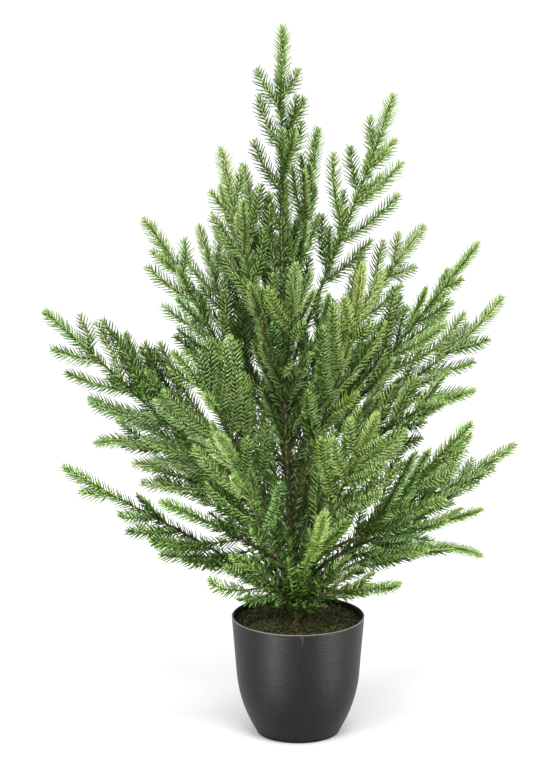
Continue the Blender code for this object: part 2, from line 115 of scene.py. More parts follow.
def strands(root, heading, toward, length, half, curve, places, widths):
    """Three-cornered rings along each strand (needle or fibre), closed at both blunt ends.

    The centre line is root + length (u heading + half curve u squared bend), where bend is the
    part of the toward direction that is square to the heading."""
    bend = unit(toward - heading * (toward * heading).sum(1, keepdims=True))
    wide = unit(np.cross(heading, toward))
    deep = np.cross(wide, heading)
    rings = len(places)
    u = np.asarray(places)[None, :, None]
    path = u * heading[:, None] + 0.5 * curve * u * u * bend[:, None]
    centre = root[:, None] + length[:, None, None] * path
    half = half[:, None, None] * np.asarray(widths)[None, :, None]
    a = centre - half * wide[:, None]
    b = centre + half * wide[:, None]
    c = centre + 1.2 * half * deep[:, None]
    points = np.stack([a, b, c], 2).reshape(-1, 3)
    last = 3 * (rings - 1)
    kinds = (ring_grid(rings, 3), np.array([(2, 1, 0), (last, last + 1, last + 2)]))
    first = (np.arange(len(root)) * 3 * rings)[:, None, None]
    return points, [(first + kind[None]).reshape(-1, kind.shape[1]) for kind in kinds]


# %% [markdown]
# ## Finishes
# Shader maths reads best as an expression. A small class wraps a value socket and turns + - *
# into Math nodes, and a finish adds any other node through one method.

# %% Shader helpers
SOCKETS = {
    "base_color": "Base Color",
    "roughness": "Roughness",
    "specular": "Specular IOR Level",
    "normal": "Normal",
}


class Wire:
    """A value socket whose arithmetic adds Math nodes."""

    def __init__(self, finish, socket):
        self.finish = finish
        self.socket = socket

    def maths(self, operation, *others):
        sockets = dict(enumerate((self, *others)))
        return self.finish.add("ShaderNodeMath", {"operation": operation}, sockets)

    def __add__(self, other):
        return self.maths("ADD", other)

    def __sub__(self, other):
        return self.maths("SUBTRACT", other)

    def __rsub__(self, other):
        return self.maths("MULTIPLY", -1.0).maths("ADD", other)

    def __mul__(self, other):
        return self.maths("MULTIPLY", other)

    def __pow__(self, other):
        return self.maths("POWER", other)

    __radd__ = __add__
    __rmul__ = __mul__


class Finish:
    """A material with a Principled shader and one method that adds any node."""

    def __init__(self, name, **constants):
        self.material = bpy.data.materials.new(name)
        self.material.use_nodes = True
        self.tree = self.material.node_tree
        self.shader = self.tree.nodes["Principled BSDF"]
        for key, value in constants.items():
            self.shader.inputs[SOCKETS[key]].default_value = value

    def add(self, kind, settings=None, sockets=None, out=0):
        node = self.tree.nodes.new(kind)
        for key, value in (settings or {}).items():
            if key == "stops":
                ramp = node.color_ramp.elements
                while len(ramp) < len(value):
                    ramp.new(1.0)
                for stop, (place, colour) in zip(ramp, value):
                    stop.position = place
                    stop.color = (*colour, 1.0)
            else:
                setattr(node, key, value)
        for key, value in (sockets or {}).items():
            if isinstance(value, Wire):
                self.tree.links.new(value.socket, node.inputs[key])
            else:
                node.inputs[key].default_value = value
        return Wire(self, node.outputs[out])

    def place(self):
        """The piece's own coordinates, in metres."""
        return self.add("ShaderNodeTexCoord", out="Object")

    def noise(self, scale, detail=3.0, vector=None, rough=0.55):
        sockets = {"Vector": vector or self.place(), "Scale": scale, "Detail": detail, "Roughness": rough}
        return self.add("ShaderNodeTexNoise", sockets=sockets)

    def mark(self, name):
        """A point attribute of the mesh."""
        return self.add("ShaderNodeAttribute", {"attribute_name": name}, out="Fac")

    def ramp(self, factor, *stops):
        return self.add("ShaderNodeValToRGB", {"stops": stops}, {"Fac": factor})

    def blend(self, a, b, factor, mode="MIX"):
        """Two colours mixed by a factor."""
        settings = {"data_type": "RGBA", "blend_type": mode}
        a = a if isinstance(a, Wire) else (*a, 1.0)
        b = b if isinstance(b, Wire) else (*b, 1.0)
        return self.add("ShaderNodeMix", settings, {0: factor, 6: a, 7: b}, out=2)

    def bump(self, height, distance, strength=1.0):
        return self.add("ShaderNodeBump", None, {"Height": height, "Distance": distance, "Strength": strength})

    def feed(self, **wires):
        for key, wire in wires.items():
            self.tree.links.new(wire.socket, self.shader.inputs[SOCKETS[key]])
        return self


# %% [markdown]
# ## Camera
# The photo looks at the tree from a little above. The ellipse of the pot's rim gives the pitch,
# and the sizes of the rim and the whole tree give the distance and the lens.

# %% Camera
CAMERA_AT = (-0.01817, -3.0, 1.06666)
CAMERA_PITCH = 13.578
LENS = 154.27
camera_data = bpy.data.cameras.new("camera")
camera_data.lens = LENS
camera_data.sensor_width = 36.0
camera = bpy.data.objects.new("camera", camera_data)
camera.location = CAMERA_AT
camera.rotation_euler = (math.radians(90 - CAMERA_PITCH), 0.0, 0.0)
bpy.context.scene.collection.objects.link(camera)
bpy.context.scene.camera = camera
print("camera pitch", CAMERA_PITCH, "degrees down, lens", LENS, "mm")

# %% [markdown]
# ## Floor and light
# The photo is a product shot on white: even light from all round, two tall soft lamps that draw
# the two soft bands on the pot, and a broad one above. The floor is a plain pale sheet.

# %% Floor and lamps
FLOOR_HALF = 30.0
FLOOR_WHITE = 0.93
floor_finish = Finish("pale_floor", roughness=0.9)
paper = floor_finish.noise(2.0)
floor_finish.feed(base_color=floor_finish.ramp(paper, (0.3, (FLOOR_WHITE - 0.01,) * 3), (0.7, (FLOOR_WHITE + 0.01,) * 3)))
floor_mesh = bpy.data.meshes.new("floor")
floor_corners = [(x * FLOOR_HALF, y * FLOOR_HALF, 0.0) for x, y in ((-1, -1), (1, -1), (1, 1), (-1, 1))]
floor_mesh.from_pydata(floor_corners, [], [(0, 1, 2, 3)])
floor_mesh.materials.append(floor_finish.material)
floor = bpy.data.objects.new("floor", floor_mesh)
bpy.context.scene.collection.objects.link(floor)

WORLD_STRENGTH = 1.10
world = bpy.data.worlds.new("studio")
world.use_nodes = True
world.node_tree.nodes["Background"].inputs["Color"].default_value = (1.0, 1.0, 1.0, 1.0)
world.node_tree.nodes["Background"].inputs["Strength"].default_value = WORLD_STRENGTH
bpy.context.scene.world = world
bpy.context.scene.view_settings.view_transform = "Standard"


def add_lamp(name, azimuth, height, distance, size, power, aim=(0.0, 0.0, 0.3)):
    """A soft panel at an azimuth round the tree (0 is the camera's side), facing its aim."""
    a = math.radians(azimuth)
    place = np.array([math.sin(a) * distance, -math.cos(a) * distance, height])
    data = bpy.data.lights.new(name, "AREA")
    data.shape = "RECTANGLE"
    data.size, data.size_y = size
    data.energy = power
    lamp = bpy.data.objects.new(name, data)
    lamp.location = place
    back = unit(place - np.array(aim))
    right = np.array([math.cos(a), math.sin(a), 0.0])
    right = unit(right - back * right.dot(back))
    up = np.cross(back, right)
    lamp.visible_camera = False
    lamp.rotation_mode = "QUATERNION"
    lamp.rotation_quaternion = Matrix(np.stack([right, up, back], 1).tolist()).to_quaternion()
    bpy.context.scene.collection.objects.link(lamp)


def add_floor_spot(name, azimuth, distance, width, glow):
    """A spot from outside that makes a soft bright patch on the floor, its middle as bright as glow."""
    a = math.radians(azimuth)
    way = np.array([math.sin(a), -math.cos(a), 0.0])
    patch = way * distance
    data = bpy.data.lights.new(name, "SPOT")
    lamp = bpy.data.objects.new(name, data)
    lamp.location = patch + way * SPOT_AWAY + np.array([0.0, 0.0, SPOT_HEIGHT])
    throw = math.hypot(SPOT_AWAY, SPOT_HEIGHT)
    data.energy = 4 * math.pi * (glow * math.pi / FLOOR_WHITE) * throw ** 3 / SPOT_HEIGHT
    data.spot_size = 2 * math.atan(width / 2 / throw)
    data.spot_blend = 1.0
    data.shadow_soft_size = 0.02
    lamp.rotation_euler = (math.atan2(SPOT_AWAY, SPOT_HEIGHT), 0.0, a)
    bpy.context.scene.collection.objects.link(lamp)


SPOT_AWAY = 0.8
SPOT_HEIGHT = 1.2
add_lamp("lamp_left", -42.0, 0.9, 1.9, (0.45, 1.5), 8.0)
add_lamp("lamp_right", 56.0, 0.9, 1.9, (0.75, 1.5), 8.0)
add_lamp("lamp_above", 10.0, 2.4, 1.2, (0.9, 0.9), 34.0)
add_floor_spot("spot_left", -39.0, 0.28, 0.18, 28.0)
add_floor_spot("spot_right", 54.0, 0.28, 0.20, 17.0)

# %% [markdown]
# ## The pot
# A plain moulded pot: a profile turned round the axis. Its side is almost straight at the top
# and draws in to a smaller foot. The lip is rounded, with a pale highlight painted along it, and a
# short moulding seam shows below it, drawn paler than the side.

# %% Pot
POT_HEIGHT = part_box("pot")[1].z
RIM_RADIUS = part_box("pot")[1].x
WALL = 0.0020
SIDE_TAPER = 0.082
BELLY_HEIGHT = 0.060
BELLY_DEPTH = 0.0150
BELLY_POWER = 2.15
FOOT_ROUND = 0.0022
INNER_DEPTH = 0.030
# Where across the lip's turn the painted highlight lies, in radians.
LIP_HIGHLIGHT_AT = 0.9
POT_SIDES = 384
SEAM_TURN = math.radians(-86.6)
SEAM_LENGTH = 0.0110
# How much paler the seam is drawn than the side.
SEAM_PALENESS = 0.30


def pot_radius(height):
    """Straight taper down from the rim, drawn in by a power curve towards the foot."""
    drawn = np.clip(1 - height / BELLY_HEIGHT, 0.0, 1.0) ** BELLY_POWER
    return RIM_RADIUS - SIDE_TAPER * (POT_HEIGHT - height) - BELLY_DEPTH * drawn


def pot_profile():
    """Radius, height and painted lip highlight from the middle of the underside, up, over the lip and down inside.
    """
    foot_turn = np.linspace(-90, 0, 7)
    foot_r = pot_radius(FOOT_ROUND) - FOOT_ROUND * (1 - np.cos(np.radians(foot_turn)))
    foot_z = FOOT_ROUND * (1 + np.sin(np.radians(foot_turn)))
    under_r = np.linspace(0.25, 0.97, 4) * foot_r[0]
    side_z = np.linspace(FOOT_ROUND, POT_HEIGHT - WALL / 2, 60)[1:]
    lip_turn = np.radians(np.linspace(0, 180, 25))[1:]
    lip_r = RIM_RADIUS - WALL / 2 + WALL / 2 * np.cos(lip_turn)
    lip_z = POT_HEIGHT - WALL / 2 + WALL / 2 * np.sin(lip_turn)
    in_z = np.linspace(POT_HEIGHT - WALL / 2, POT_HEIGHT - INNER_DEPTH, 16)[1:]
    radius = np.concatenate([under_r, foot_r, pot_radius(side_z), lip_r, pot_radius(in_z) - WALL])
    height = np.concatenate([np.zeros(4), foot_z, side_z, lip_z, in_z])
    # Painted highlight: a pale band over the top of the rounded lip, where it would catch the light.
    lip_highlight = np.exp(-((lip_turn - LIP_HIGHLIGHT_AT) / 0.5) ** 2)
    worn = np.concatenate([np.zeros(4 + len(foot_z) + len(side_z)), lip_highlight, np.zeros(len(in_z))])
    return radius, height, worn


pot_finish = Finish("black_plastic", specular=0.20)
turned = pot_finish.add("ShaderNodeMapping", {"vector_type": "POINT"}, {"Vector": pot_finish.place(), "Scale": (30.0, 30.0, 1600.0)})
lines = pot_finish.noise(1.0, 2.0, turned)
cloud = pot_finish.noise(24.0, 4.0)
black = pot_finish.ramp(cloud, (0.3, (0.0030, 0.0027, 0.0022)), (0.7, (0.0046, 0.0042, 0.0034)))
dust = pot_finish.ramp(pot_finish.noise(700.0, 2.0), (0.60, (0.0, 0.0, 0.0)), (0.72, (0.016, 0.015, 0.013)))
black = pot_finish.blend(black, dust, 1.0, "ADD")
worn = pot_finish.mark("worn")
pot_finish.feed(
    # The pale grey over the lip is a painted highlight; along the seam it only draws the seam paler.
    base_color=pot_finish.blend(black, (0.24, 0.24, 0.23), worn),
    roughness=cloud * 0.08 + worn * 0.1 + 0.40,
    normal=pot_finish.bump(lines, 0.00030),
)

profile_r, profile_z, profile_lip_highlight = pot_profile()
turn = np.arange(POT_SIDES) * math.tau / POT_SIDES
pot_r = np.repeat(profile_r[:, None], POT_SIDES, 1)
off_seam = (turn - SEAM_TURN + math.pi) % math.tau - math.pi
seam = np.exp(-(off_seam * RIM_RADIUS / 0.0006) ** 2)[None, :]
fade = np.clip((profile_z - POT_HEIGHT + SEAM_LENGTH) / SEAM_LENGTH, 0.0, 1.0)[:, None]
outside = (np.arange(len(profile_r)) < np.argmax(profile_z) + 1)[:, None]
pot_r = pot_r + 0.00025 * seam * np.sqrt(fade) * outside
pot_points = np.stack([pot_r * np.cos(turn), pot_r * np.sin(turn), np.repeat(profile_z[:, None], POT_SIDES, 1)], -1)
count = len(profile_r)
pole_low = count * POT_SIDES
points = np.concatenate([pot_points.reshape(-1, 3), [[0.0, 0.0, 0.0], [0.0, 0.0, profile_z[-1]]]])
faces = [
    ring_grid(count, POT_SIDES),
    fan(pole_low, np.arange(POT_SIDES), flip=True),
    fan(pole_low + 1, np.arange(POT_SIDES) + (count - 1) * POT_SIDES),
]
# The seam is drawn paler than the side, fading downwards.
pale_seam = SEAM_PALENESS * np.exp(-(off_seam * RIM_RADIUS / 0.0006) ** 2)[None, :] * np.sqrt(fade) * outside
lip_highlight_and_seam_marks = np.concatenate([np.maximum(profile_lip_highlight[:, None], pale_seam).ravel(), [0.0, 0.0]])
add_piece("pot_shell", points, faces, pot_finish, ["pot"], {"worn": lip_highlight_and_seam_marks})

# %% [markdown]
# ## The mossy filler
# The pot is filled almost to the lip, and dried moss covers the filler. A domed disc with a lumpy
# surface carries it, and short curled fibres laid over it break up its outline.

# %% Filler
FILL_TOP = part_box("fill")[1].z
FILL_EDGE = 0.1095
FILL_RADIUS = pot_radius(np.array([FILL_EDGE]))[0] - WALL - 0.0004
FILL_BASE = FILL_EDGE - 0.012
LUMP_HEIGHT = 0.0016
rng = np.random.default_rng(11)


LUMP_SIZES = np.exp(np.linspace(math.log(0.004), math.log(0.018), 40))
LUMP_WAYS = rng.uniform(0, math.tau, 40)
LUMP_STARTS = rng.uniform(0, math.tau, 40)


def lumps(x, y):
    """Sum of random waves over the plane, each one as high as it is long, about -1 to 1."""
    across = x[..., None] * np.cos(LUMP_WAYS) + y[..., None] * np.sin(LUMP_WAYS)
    waves = LUMP_SIZES * np.sin(across * math.tau / LUMP_SIZES + LUMP_STARTS)
    return waves.sum(-1) / (0.5 * LUMP_SIZES.sum())


def fill_height(x, y):
    """A gentle dome, level where the trunk stands, with lumps."""
    radius = np.hypot(x, y)
    share = radius / FILL_RADIUS
    dome = FILL_EDGE + (FILL_TOP - FILL_EDGE) * (1 - share ** 2)
    calm = np.clip((radius - 0.008) / 0.010, 0, 1)
    return dome + LUMP_HEIGHT * lumps(x, y) * calm


moss_finish = Finish("dark_moss", roughness=0.95, specular=0.2)
patch = moss_finish.noise(70.0, 6.0, rough=0.7)
fibre = moss_finish.noise(900.0, 3.0)
earth = moss_finish.ramp(patch, (0.36, (0.010, 0.007, 0.004)), (0.50, (0.028, 0.023, 0.009)), (0.66, (0.052, 0.062, 0.016)))
# Where the fine noise is low the moss is mixed towards near-black: partly its own dark strands, partly painted shade
# in the pits of its relief.
moss_finish.feed(
    base_color=moss_finish.blend(earth, (0.006, 0.005, 0.003), (1.0 - fibre) * 0.8),
    normal=moss_finish.bump(fibre * 0.6 + patch * 0.4, 0.0015),
)

FILL_SIDES = 160
fill_r = np.linspace(0.0015, 1.0, 70) * FILL_RADIUS
bed_r, bed_turn = np.meshgrid(fill_r, np.arange(FILL_SIDES) * math.tau / FILL_SIDES, indexing="ij")
bed_x, bed_y = bed_r * np.cos(bed_turn), bed_r * np.sin(bed_turn)
bed = np.stack([bed_x, bed_y, fill_height(bed_x, bed_y)], -1)
side = bed[-1:].copy()
side[..., 2] = FILL_BASE
bed = np.concatenate([bed, side])
rings = len(bed)
points = np.concatenate([bed.reshape(-1, 3), [[0.0, 0.0, FILL_TOP], [0.0, 0.0, FILL_BASE]]])
pole = rings * FILL_SIDES
faces = [
    ring_grid(rings, FILL_SIDES)[:, ::-1],
    fan(pole, np.arange(FILL_SIDES)),
    fan(pole + 1, np.arange(FILL_SIDES) + (rings - 1) * FILL_SIDES, flip=True),
]
add_piece("moss_bed", points, faces, moss_finish, ["fill"])

# %% [markdown]
# ## Moss fibres
# Moss is a felt of short curled stems. Fibres as fine strands, spread evenly over the bed,
# give the surface its fuzz; an attribute per fibre deals out brown, olive and near-black.

# %% Moss fibres
FIBRES = 5200
FIBRE_LENGTH = (0.0030, 0.0060)
FIBRE_HALF = 0.00030
FIBRE_PLACES = (0.0, 0.4, 0.75, 1.0)
FIBRE_WIDTHS = (0.8, 1.0, 0.8, 0.3)
fibre_r = np.sqrt(rng.uniform(0.02, 0.985, FIBRES)) * (FILL_RADIUS - 0.0035)
fibre_turn = rng.uniform(0, math.tau, FIBRES)
fibre_x, fibre_y = fibre_r * np.cos(fibre_turn), fibre_r * np.sin(fibre_turn)
fibre_roots = np.stack([fibre_x, fibre_y, fill_height(fibre_x, fibre_y) - 0.0004], -1)
fibre_way = rng.uniform(0, math.tau, FIBRES)
fibre_pitch = np.radians(rng.uniform(5, 55, FIBRES))
level = np.cos(fibre_pitch)
fibre_headings = np.stack([level * np.cos(fibre_way), level * np.sin(fibre_way), np.sin(fibre_pitch)], -1)
fibre_toward = unit(rng.normal(0, 1, (FIBRES, 3)) - np.array([0.0, 0.0, 1.6]))
fibre_lengths = rng.uniform(*FIBRE_LENGTH, FIBRES)
fibre_halves = FIBRE_HALF * rng.uniform(0.6, 1.2, FIBRES)
points, faces = strands(fibre_roots, fibre_headings, fibre_toward, fibre_lengths, fibre_halves,
                        1.3, FIBRE_PLACES, FIBRE_WIDTHS)
tuft_tone = 0.5 + 0.35 * lumps(fibre_x + 0.03, fibre_y) + rng.normal(0, 0.16, FIBRES)
fibre_finish = Finish("moss_fibre", roughness=0.85, specular=0.25)
tone = fibre_finish.mark("tone") + fibre_finish.noise(300.0) * 0.2
fibre_finish.feed(base_color=fibre_finish.ramp(
    tone,
    (0.30, (0.008, 0.006, 0.004)), (0.48, (0.046, 0.034, 0.016)),
    (0.64, (0.105, 0.108, 0.032)), (0.92, (0.250, 0.265, 0.085)),
))
marks = {"tone": np.repeat(np.clip(tuft_tone, 0, 1), 3 * len(FIBRE_PLACES))}
add_piece("moss_fibres", points, faces, fibre_finish, ["fill"], marks)

# %% [markdown]
# ## The growth rule
# The source grows the tree from a short table: one line a bough says where it leaves the trunk
# and where its tip is, and a seeded rule sets the sprays along it. The same table and the same
# draws of the dice are written again here, so every fine twig lies where its solid is.

# %% Table of boughs
FILL_CROWN = 0.1120
LEAN = 0.0161
LEAN_START = 0.108
FOOT_LEFT = 0.0005
TRUNK_TIP = 0.4995
TREE_TIP = 0.6786
GAP = 0.0003
BARE = 0.28
Bough = namedtuple("Bough", "name foot azimuth reach rise leaves ends roll size seed bare")
BOUGHS = (
    Bough("right_1", 0.338, 14, 0.105, 0.276, 72, 73, 80, 0.90, 706, BARE),
    Bough("right_2", 0.275, 48, 0.202, 0.190, 49, 35, 60, 0.90, 734, BARE),
    Bough("right_3", 0.208, -52, 0.105, 0.267, 72, 85, 10, 1.25, 374, BARE),
    Bough("right_4", 0.197, -12, 0.177, 0.289, 72, 54, 35, 0.80, 492, BARE),
    Bough("right_5", 0.244, 22, 0.222, 0.165, 50, 51, 85, 1.00, 690, BARE),
    Bough("right_6", 0.175, -28, 0.189, 0.182, 66, 17, 40, 1.05, 760, BARE),
    Bough("right_7", 0.123, -34, 0.192, 0.209, 54, 48, 85, 1.10, 252, BARE),
    Bough("right_8", 0.167, 24, 0.238, 0.092, 12, 27, 20, 0.80, 252, BARE),
    Bough("right_9", 0.136, -14, 0.180, 0.096, 58, 23, 10, 1.15, 432, BARE),
    Bough("right_10", 0.129, 30, 0.212, 0.014, 30, -26, 15, 0.85, 936, BARE),
    Bough("right_11", 0.117, -48, 0.140, 0.060, 50, 23, 35, 0.80, 355, 0.0),
    Bough("left_1", 0.322, -150, 0.068, 0.251, 72, 76, 60, 0.90, 445, BARE),
    Bough("left_2", 0.298, -174, 0.133, 0.205, 42, 52, 75, 0.90, 548, BARE),
    Bough("left_3", 0.306, 136, 0.115, 0.172, 32, 67, 90, 1.25, 456, 0.0),
    Bough("left_4", 0.222, 172, 0.235, 0.184, 26, 40, 85, 1.15, 593, BARE),
    Bough("left_5", 0.186, -132, 0.162, 0.216, 48, 40, 45, 1.25, 21, BARE),
    Bough("left_6", 0.123, -168, 0.223, 0.152, 43, 35, 85, 0.80, 915, BARE),
    Bough("left_7", 0.159, -146, 0.148, 0.092, 38, 28, 70, 1.25, 988, 0.0),
    Bough("left_8", 0.170, 152, 0.150, 0.060, 30, 9, 80, 0.80, 469, 0.0),
    Bough("left_9", 0.153, -118, 0.150, 0.176, 35, 41, 10, 1.25, 420, BARE),
    Bough("left_10", 0.147, -138, 0.107, 0.025, 12, 43, 95, 1.25, 707, 0.0),
    Bough("left_11", 0.237, 160, 0.165, 0.142, 27, 73, 95, 1.20, 518, 0.0),
    Bough("front_1", 0.146, -62, 0.158, 0.203, 55, 56, 95, 1.15, 3, BARE),
    Bough("front_2", 0.140, -78, 0.125, 0.112, 45, 62, 15, 1.25, 840, 0.0),
    Bough("front_3", 0.127, -100, 0.046, 0.057, 40, 61, 30, 1.05, 65, 0.0),
    Bough("front_4", 0.117, -130, 0.094, 0.079, 50, 30, 40, 1.00, 21, 0.0),
    Bough("front_5", 0.133, -52, 0.079, 0.057, 45, 40, 55, 1.25, 13, 0.0),
    Bough("back_1", 0.290, 90, 0.107, 0.229, 66, 72, 25, 1.25, 712, BARE),
    Bough("back_2", 0.241, 102, 0.170, 0.184, 52, 52, 30, 1.10, 180, BARE),
    Bough("back_3", 0.204, 76, 0.160, 0.191, 48, 40, 75, 1.25, 931, BARE),
    Bough("back_4", 0.185, 150, 0.222, 0.070, 38, -20, 80, 1.15, 885, 0.0),
    Bough("back_5", 0.150, 85, 0.203, 0.060, 35, 14, 50, 1.15, 300, 0.0),
    Bough("back_6", 0.194, 113, 0.210, 0.138, 40, 25, 15, 1.05, 877, 0.0),
    Bough("upper_front", 0.348, -80, 0.057, 0.120, 55, 75, 20, 1.25, 878, 0.0),
    Bough("upper_left", 0.414, 160, 0.039, 0.134, 50, 75, 65, 1.15, 479, 0.0),
    Bough("upper_right", 0.426, 20, 0.035, 0.156, 55, 78, 65, 0.95, 434, 0.0),
)
LEADER_RISE = TREE_TIP - TRUNK_TIP - GAP
LEADER = Bough("leader", TRUNK_TIP + GAP, 0, 0.001, LEADER_RISE, 90, 90, 90, 0.85, 339, 0.0)
LEADER_FIRST_SPRAY = 0.066
FIRST_SPRAY = 0.056
SPRAY_STEP = 0.0132
STEP_SPREAD = 0.20
SET_ANGLE = 38.0
SET_SPREAD = 7.0
ROLL_SPREAD = 16.0
GROWTH = 0.60
LONGEST = 0.084
STANDING_SIZE = 0.62
INNER_FROM = 0.6
INNER_LOSS = 0.35
LIFT = 0.6
CURL = 0.42
STALK = 0.0030
STEM_END = 0.9
UP = np.array([0.0, 0.0, 1.0])


def direction(azimuth, pitch):
    """Unit vector that points to an azimuth at a pitch above level."""
    a, p = math.radians(azimuth), math.radians(pitch)
    return np.array([math.cos(a) * math.cos(p), math.sin(a) * math.cos(p), math.sin(p)])


def trunk_axis(height):
    """The trunk's centre at a height: it leans left, most of it low down."""
    height = np.asarray(height, float)
    climb = np.clip((height - LEAN_START) / (TREE_TIP - LEAN_START), 0.0, 1.0)
    x = -LEAN * (1 - (1 - climb) ** 3) - FOOT_LEFT
    return np.stack([x, np.zeros_like(x), height], -1)


class Line:
    """A centre line through points, read by the length along it."""

    def __init__(self, points):
        self.points = np.asarray(points)
        steps = np.linalg.norm(np.diff(self.points, axis=0), axis=1)
        self.marks = np.concatenate([[0.0], np.cumsum(steps)])
        self.length = float(self.marks[-1])

    def at(self, s):
        """Points at lengths along the line, straight between the line's own points."""
        return np.stack([np.interp(s, self.marks, self.points[:, i]) for i in range(3)], -1)

    def tangent(self, s, step=0.004):
        """Directions of the line, from a short step either way."""
        low = self.at(np.maximum(np.asarray(s) - step, 0.0))
        return unit(self.at(np.minimum(np.asarray(s) + step, self.length)) - low)


def bough_line(bough):
    """A cubic curve from the trunk's axis to the bough's tip."""
    start = trunk_axis(bough.foot)
    end = start + direction(bough.azimuth, 0) * bough.reach + UP * bough.rise
    arm = 0.36 * np.linalg.norm(end - start)
    first = start + direction(bough.azimuth, bough.leaves) * arm
    last = end - direction(bough.azimuth, bough.ends) * arm
    t = np.linspace(0.0, 1.0, 48)[:, None]
    u = 1 - t
    return Line(u ** 3 * start + 3 * u * u * t * first + 3 * u * t * t * last + t ** 3 * end)


Spray = namedtuple("Spray", "place root along bend face length standing")


def sprays_on(bough, line, first, step=SPRAY_STEP, flat=False):
    """Side sprays from the tip down: left, right, then (unless flat) one that stands out of their plane."""
    dice = random.Random(bough.seed)
    side = dice.choice((-1, 1))
    across_level = direction(bough.azimuth + 90, 0)
    leafy = line.length * (1 - bough.bare) - STALK
    sprays = []
    from_tip = first
    count = 0
    while from_tip < leafy:
        s = line.length - from_tip
        stem = line.tangent(s)
        across_steep = unit(np.cross(stem, across_level))
        standing = count % 3 == 2 and not flat
        sign = side
        if standing:
            sign = 1 if (count // 3) % 2 else -1
        turn = bough.roll + (90 if standing else 0)
        roll = math.radians(turn + dice.uniform(-ROLL_SPREAD, ROLL_SPREAD))
        across = sign * (math.cos(roll) * across_level + math.sin(roll) * across_steep)
        angle = math.radians(SET_ANGLE + dice.uniform(-SET_SPREAD, SET_SPREAD))
        along = math.cos(angle) * stem + math.sin(angle) * across
        length = min(GROWTH * from_tip, LONGEST) * bough.size * dice.uniform(0.8, 1.12)
        length *= STANDING_SIZE if standing else 1.0
        length *= 1 - INNER_LOSS * max(0.0, from_tip / leafy - INNER_FROM) / (1 - INNER_FROM)
        bend = stem + LIFT * UP
        bend = unit(bend - along * bend.dot(along))
        face = unit(np.cross(stem, across))
        sprays.append(Spray(s, line.at(s), along, bend, face, length, standing))
        from_tip += step * dice.uniform(1 - STEP_SPREAD, 1 + STEP_SPREAD)
        if not standing:
            side = -side
        count += 1
    return sprays


# %% [markdown]
# ## Shoots
# Trunk, boughs and twigs are all shoots: a centre line, two radii, and the stretch that carries
# needles. light says how much daylight reaches a shoot, and deals out the needles' tints.

# %% Grow the shoots
Shoot = namedtuple("Shoot", "kind line face thick thin begin light hue")
TWIG_THICK = 0.0008
TWIG_THIN = 0.00045
TWIG_END = 0.95
BOUGH_THICK = 0.0019
TRUNK_THICK = 0.0036
TRUNK_THIN = 0.0014
DIRECT_THICK = 0.0016
CROWN_LOW = 0.24
CROWN_TOP = 0.035
SPRAY_SPREAD = 0.42
RIM_CLEAR = 0.128
RIM_SLOPE = 0.22
FOOT_SHOOTS = 30
FOOT_FRONT = -0.3
FOOT_WAYS = {
    "steep": ((42, 76), (0.060, 0.096), 0.12),
    "low": ((8, 22), (0.042, 0.058), -0.10),
    "short": ((2, 34), (0.028, 0.040), 0.0),
}
TRUNK_SHOOTS = 36
BEHIND_LOWER = 22.0
BEHIND_LONGER = 1.1
TRUNK_TURN = 200.0
TRUNK_OPEN = -0.80
TRUNK_FIRST = 0.135
TRUNK_LAST = 0.380
BACK_SHADE = -0.2
LIMB_SHADE = -0.45
TIP_SPRAY = 0.05
HUE_SPREAD = 0.35
# Light of each bough, partly fresh yellow growth and partly painted light: boughs in light take lighter tints,
# boughs in shade darker ones.
LIT_AND_FRESH = {
    "front_1": 0.30, "front_2": 0.25, "front_3": -0.50, "front_4": -0.10, "front_5": -0.45,
    "right_1": 0.25, "right_3": 0.45, "right_4": 0.25, "right_6": -0.10, "right_8": -0.25,
    "left_1": 0.60, "left_4": -0.32, "left_6": -0.28, "left_7": -0.05, "left_8": -0.35, "left_9": 0.20, "left_5": -0.15, "right_7": -0.25,
    "upper_front": 0.30, "upper_left": 0.25, "leader": 0.10,
}
YELLOW = {"front_1": 0.60, "front_2": 0.45, "left_1": 0.25}
